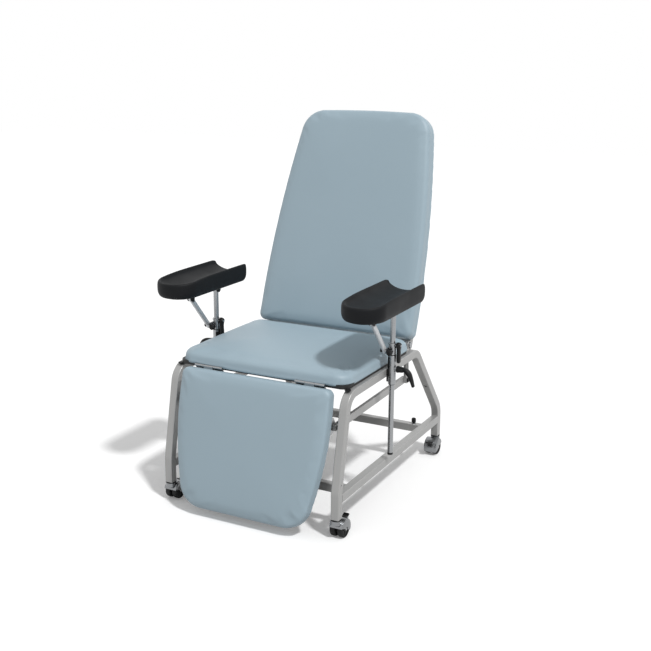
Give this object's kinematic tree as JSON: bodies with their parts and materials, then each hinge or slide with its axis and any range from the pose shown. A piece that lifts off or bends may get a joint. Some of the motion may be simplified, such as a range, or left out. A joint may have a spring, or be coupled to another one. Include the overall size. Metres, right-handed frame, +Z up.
{
  "type": "phlebotomy chair",
  "caption": "Mobile reclining phlebotomy chair: padded seat, back and linked legrest on a castered tube base, with trough armrests on adjustable posts.",
  "frame": {"origin": "on the floor, midway between the four caster stems", "axes": "+Z up, the sitter faces -Y, +X to the right as seen from in front"},
  "size_m": [0.7572, 0.8667, 1.1387],
  "materials": {
    "upholstery": "satin",
    "armrest_foam": "matte",
    "painted_board": "satin",
    "frame_paint": "satin",
    "black_plastic": "satin",
    "stop_rubber": "matte",
    "caster_tread": "matte",
    "caster_hood_metal": "satin",
    "bright_steel": "satin",
    "zinc_plate": "satin",
    "pin_black": "satin",
    "gas_cylinder_paint": "satin",
    "rod_chrome": "polished"
  },
  "bodies": {
    "frame": {"side_frame_left": "frame_paint", "side_frame_right": "frame_paint", "lower_rail_left": "frame_paint", "lower_rail_right": "frame_paint", "front_cross_tube": "frame_paint", "rear_cross_tube": "frame_paint", "back_pivot_pins": "zinc_plate", "seat_crossbar": "frame_paint", "leg_inserts": "black_plastic", "seat_board": "painted_board", "seat_cushion": "upholstery", "seat_stops": "stop_rubber", "legrest_hinge_fixed": "zinc_plate", "gas_spring_cylinder": "gas_cylinder_paint", "arm_clamp_left": "bright_steel", "arm_clamp_right": "bright_steel"},
    "backrest": {"back_cushion": "upholstery", "back_board": "painted_board", "back_frame": "frame_paint", "back_cranks": "frame_paint", "link_pins_back": "pin_black"},
    "legrest": {"legrest_hinge_moving": "zinc_plate", "legrest_board": "painted_board", "legrest_cushion": "upholstery", "legrest_brackets": "zinc_plate", "link_pins_front": "pin_black"},
    "links": {"link_bars": "frame_paint"},
    "gas_rod": {"gas_spring_rod": "rod_chrome"},
    "knob_left": {"cross_tube_knob_left": "black_plastic"},
    "clamp_lever_left": {"clamp_lever_left": "black_plastic"},
    "arm_swivel_left": {"arm_bush_left": "black_plastic"},
    "arm_mast_left": {"arm_post_left": "bright_steel"},
    "arm_rest_left": {"arm_plate_left": "black_plastic", "arm_pad_left": "armrest_foam"},
    "arm_collar_left": {"arm_collar_left": "bright_steel"},
    "arm_strut_left": {"arm_strut_left": "bright_steel"},
    "collar_knob_left": {"collar_knob_left": "black_plastic"},
    "tilt_lever_left": {"tilt_lever_left": "black_plastic"},
    "knob_right": {"cross_tube_knob_right": "black_plastic"},
    "clamp_lever_right": {"clamp_lever_right": "black_plastic"},
    "arm_swivel_right": {"arm_bush_right": "black_plastic"},
    "arm_mast_right": {"arm_post_right": "bright_steel"},
    "arm_rest_right": {"arm_plate_right": "black_plastic", "arm_pad_right": "armrest_foam"},
    "arm_collar_right": {"arm_collar_right": "bright_steel"},
    "arm_strut_right": {"arm_strut_right": "bright_steel"},
    "collar_knob_right": {"collar_knob_right": "black_plastic"},
    "tilt_lever_right": {"tilt_lever_right": "black_plastic"},
    "caster_front_left": {"caster_hood_front_left": "caster_hood_metal"},
    "wheels_front_left": {"caster_wheels_front_left": "caster_tread"},
    "pedal_front_left": {"brake_pedal_front_left": "black_plastic"},
    "caster_front_right": {"caster_hood_front_right": "caster_hood_metal"},
    "wheels_front_right": {"caster_wheels_front_right": "caster_tread"},
    "pedal_front_right": {"brake_pedal_front_right": "black_plastic"},
    "caster_back_left": {"caster_hood_back_left": "caster_hood_metal"},
    "wheels_back_left": {"caster_wheels_back_left": "caster_tread"},
    "pedal_back_left": {"brake_pedal_back_left": "black_plastic"},
    "caster_back_right": {"caster_hood_back_right": "caster_hood_metal"},
    "wheels_back_right": {"caster_wheels_back_right": "caster_tread"},
    "pedal_back_right": {"brake_pedal_back_right": "black_plastic"}
  },
  "joints": [
    {"name": "recline", "type": "hinge", "parent": "frame", "child": "backrest", "pos_m": [0, 0.155, 0.43], "axis": [-1, 0, 0], "range_deg": [0, 70.2]},
    {"name": "legrest_lift", "type": "hinge", "parent": "frame", "child": "legrest", "pos_m": [0, -0.324, 0.4243], "axis": [-1, 0, 0], "range_deg": [-0.5, 70.7]},
    {"name": "link_swing", "type": "hinge", "parent": "backrest", "child": "links", "pos_m": [0, 0.165, 0.31], "axis": [-1, 0, 0], "range_deg": [-70.7, 0.5]},
    {"name": "gas_stroke", "type": "slide", "parent": "frame", "child": "gas_rod", "axis": [0, -1, 0], "range_m": [-0.0005, 0.05225]},
    {"name": "cross_knob_turn_left", "type": "hinge", "parent": "frame", "child": "knob_left", "pos_m": [-0.246, 0.2605, 0.13], "axis": [0, 0, 1], "range_deg": [0, 360]},
    {"name": "clamp_lever_turn_left", "type": "hinge", "parent": "frame", "child": "clamp_lever_left", "pos_m": [-0.306, -0.07, 0.419], "axis": [1, 0, 0], "range_deg": [-90, 90]},
    {"name": "arm_swivel_left", "type": "hinge", "parent": "frame", "child": "arm_swivel_left", "pos_m": [-0.306, -0.07, 0.416], "axis": [0, 0, 1], "range_deg": [-90, 45]},
    {"name": "arm_height_left", "type": "slide", "parent": "arm_swivel_left", "child": "arm_mast_left", "axis": [0, 0, 1], "range_m": [0, 0.15]},
    {"name": "arm_tilt_left", "type": "hinge", "parent": "arm_mast_left", "child": "arm_rest_left", "pos_m": [-0.306, -0.07, 0.592], "axis": [-1, 0, 0], "range_deg": [0, 20]},
    {"name": "collar_slide_left", "type": "slide", "parent": "arm_mast_left", "child": "arm_collar_left", "axis": [0, 0, 1], "range_m": [-0.0005, 0.03796]},
    {"name": "strut_swing_left", "type": "hinge", "parent": "arm_collar_left", "child": "arm_strut_left", "pos_m": [-0.306, -0.095, 0.478], "axis": [1, 0, 0], "range_deg": [-2.67, 0.5]},
    {"name": "collar_knob_turn_left", "type": "hinge", "parent": "arm_collar_left", "child": "collar_knob_left", "pos_m": [-0.3026, -0.1, 0.474], "axis": [0, -1, 0], "range_deg": [0, 360]},
    {"name": "tilt_lever_turn_left", "type": "hinge", "parent": "arm_collar_left", "child": "tilt_lever_left", "pos_m": [-0.2885, -0.07, 0.491], "axis": [-1, 0, 0], "range_deg": [0, 90]},
    {"name": "cross_knob_turn_right", "type": "hinge", "parent": "frame", "child": "knob_right", "pos_m": [0.246, 0.2605, 0.13], "axis": [0, 0, 1], "range_deg": [0, 360]},
    {"name": "clamp_lever_turn_right", "type": "hinge", "parent": "frame", "child": "clamp_lever_right", "pos_m": [0.306, -0.07, 0.419], "axis": [1, 0, 0], "range_deg": [-90, 90]},
    {"name": "arm_swivel_right", "type": "hinge", "parent": "frame", "child": "arm_swivel_right", "pos_m": [0.306, -0.07, 0.416], "axis": [0, 0, 1], "range_deg": [-45, 90]},
    {"name": "arm_height_right", "type": "slide", "parent": "arm_swivel_right", "child": "arm_mast_right", "axis": [0, 0, 1], "range_m": [0, 0.15]},
    {"name": "arm_tilt_right", "type": "hinge", "parent": "arm_mast_right", "child": "arm_rest_right", "pos_m": [0.306, -0.07, 0.592], "axis": [-1, 0, 0], "range_deg": [0, 20]},
    {"name": "collar_slide_right", "type": "slide", "parent": "arm_mast_right", "child": "arm_collar_right", "axis": [0, 0, 1], "range_m": [-0.0005, 0.03796]},
    {"name": "strut_swing_right", "type": "hinge", "parent": "arm_collar_right", "child": "arm_strut_right", "pos_m": [0.306, -0.095, 0.478], "axis": [1, 0, 0], "range_deg": [-2.67, 0.5]},
    {"name": "collar_knob_turn_right", "type": "hinge", "parent": "arm_collar_right", "child": "collar_knob_right", "pos_m": [0.3094, -0.1, 0.474], "axis": [0, -1, 0], "range_deg": [0, 360]},
    {"name": "tilt_lever_turn_right", "type": "hinge", "parent": "arm_collar_right", "child": "tilt_lever_right", "pos_m": [0.3235, -0.07, 0.491], "axis": [-1, 0, 0], "range_deg": [0, 90]},
    {"name": "swivel_front_left", "type": "hinge", "parent": "frame", "child": "caster_front_left", "pos_m": [-0.28, -0.375, 0.06], "axis": [0, 0, 1], "continuous": true},
    {"name": "roll_front_left", "type": "hinge", "parent": "caster_front_left", "child": "wheels_front_left", "pos_m": [-0.28, -0.354, 0.025], "axis": [1, 0, 0], "continuous": true},
    {"name": "brake_front_left", "type": "hinge", "parent": "caster_front_left", "child": "pedal_front_left", "pos_m": [-0.28, -0.328, 0.04532], "axis": [-1, 0, 0], "range_deg": [0, 14]},
    {"name": "swivel_front_right", "type": "hinge", "parent": "frame", "child": "caster_front_right", "pos_m": [0.28, -0.375, 0.06], "axis": [0, 0, 1], "continuous": true},
    {"name": "roll_front_right", "type": "hinge", "parent": "caster_front_right", "child": "wheels_front_right", "pos_m": [0.28, -0.354, 0.025], "axis": [1, 0, 0], "continuous": true},
    {"name": "brake_front_right", "type": "hinge", "parent": "caster_front_right", "child": "pedal_front_right", "pos_m": [0.28, -0.328, 0.04532], "axis": [-1, 0, 0], "range_deg": [0, 14]},
    {"name": "swivel_back_left", "type": "hinge", "parent": "frame", "child": "caster_back_left", "pos_m": [-0.28, 0.375, 0.06], "axis": [0, 0, 1], "continuous": true},
    {"name": "roll_back_left", "type": "hinge", "parent": "caster_back_left", "child": "wheels_back_left", "pos_m": [-0.28, 0.354, 0.025], "axis": [1, 0, 0], "continuous": true},
    {"name": "brake_back_left", "type": "hinge", "parent": "caster_back_left", "child": "pedal_back_left", "pos_m": [-0.28, 0.328, 0.04532], "axis": [1, 0, 0], "range_deg": [0, 14]},
    {"name": "swivel_back_right", "type": "hinge", "parent": "frame", "child": "caster_back_right", "pos_m": [0.28, 0.375, 0.06], "axis": [0, 0, 1], "continuous": true},
    {"name": "roll_back_right", "type": "hinge", "parent": "caster_back_right", "child": "wheels_back_right", "pos_m": [0.28, 0.354, 0.025], "axis": [1, 0, 0], "continuous": true},
    {"name": "brake_back_right", "type": "hinge", "parent": "caster_back_right", "child": "pedal_back_right", "pos_m": [0.28, 0.328, 0.04532], "axis": [1, 0, 0], "range_deg": [0, 14]}
  ],
  "couplings": [
    {"joint": "legrest_lift", "follows": "recline", "ratio": 1},
    {"joint": "link_swing", "follows": "recline", "ratio": -1},
    {"joint": "gas_stroke", "follows": "recline", "m_per_rad": 0.042238},
    {"joint": "collar_slide_left", "follows": "arm_tilt_left", "m_per_rad": 0.10731},
    {"joint": "strut_swing_left", "follows": "arm_tilt_left", "ratio": -0.10838},
    {"joint": "collar_slide_right", "follows": "arm_tilt_right", "m_per_rad": 0.10731},
    {"joint": "strut_swing_right", "follows": "arm_tilt_right", "ratio": -0.10838}
  ]
}
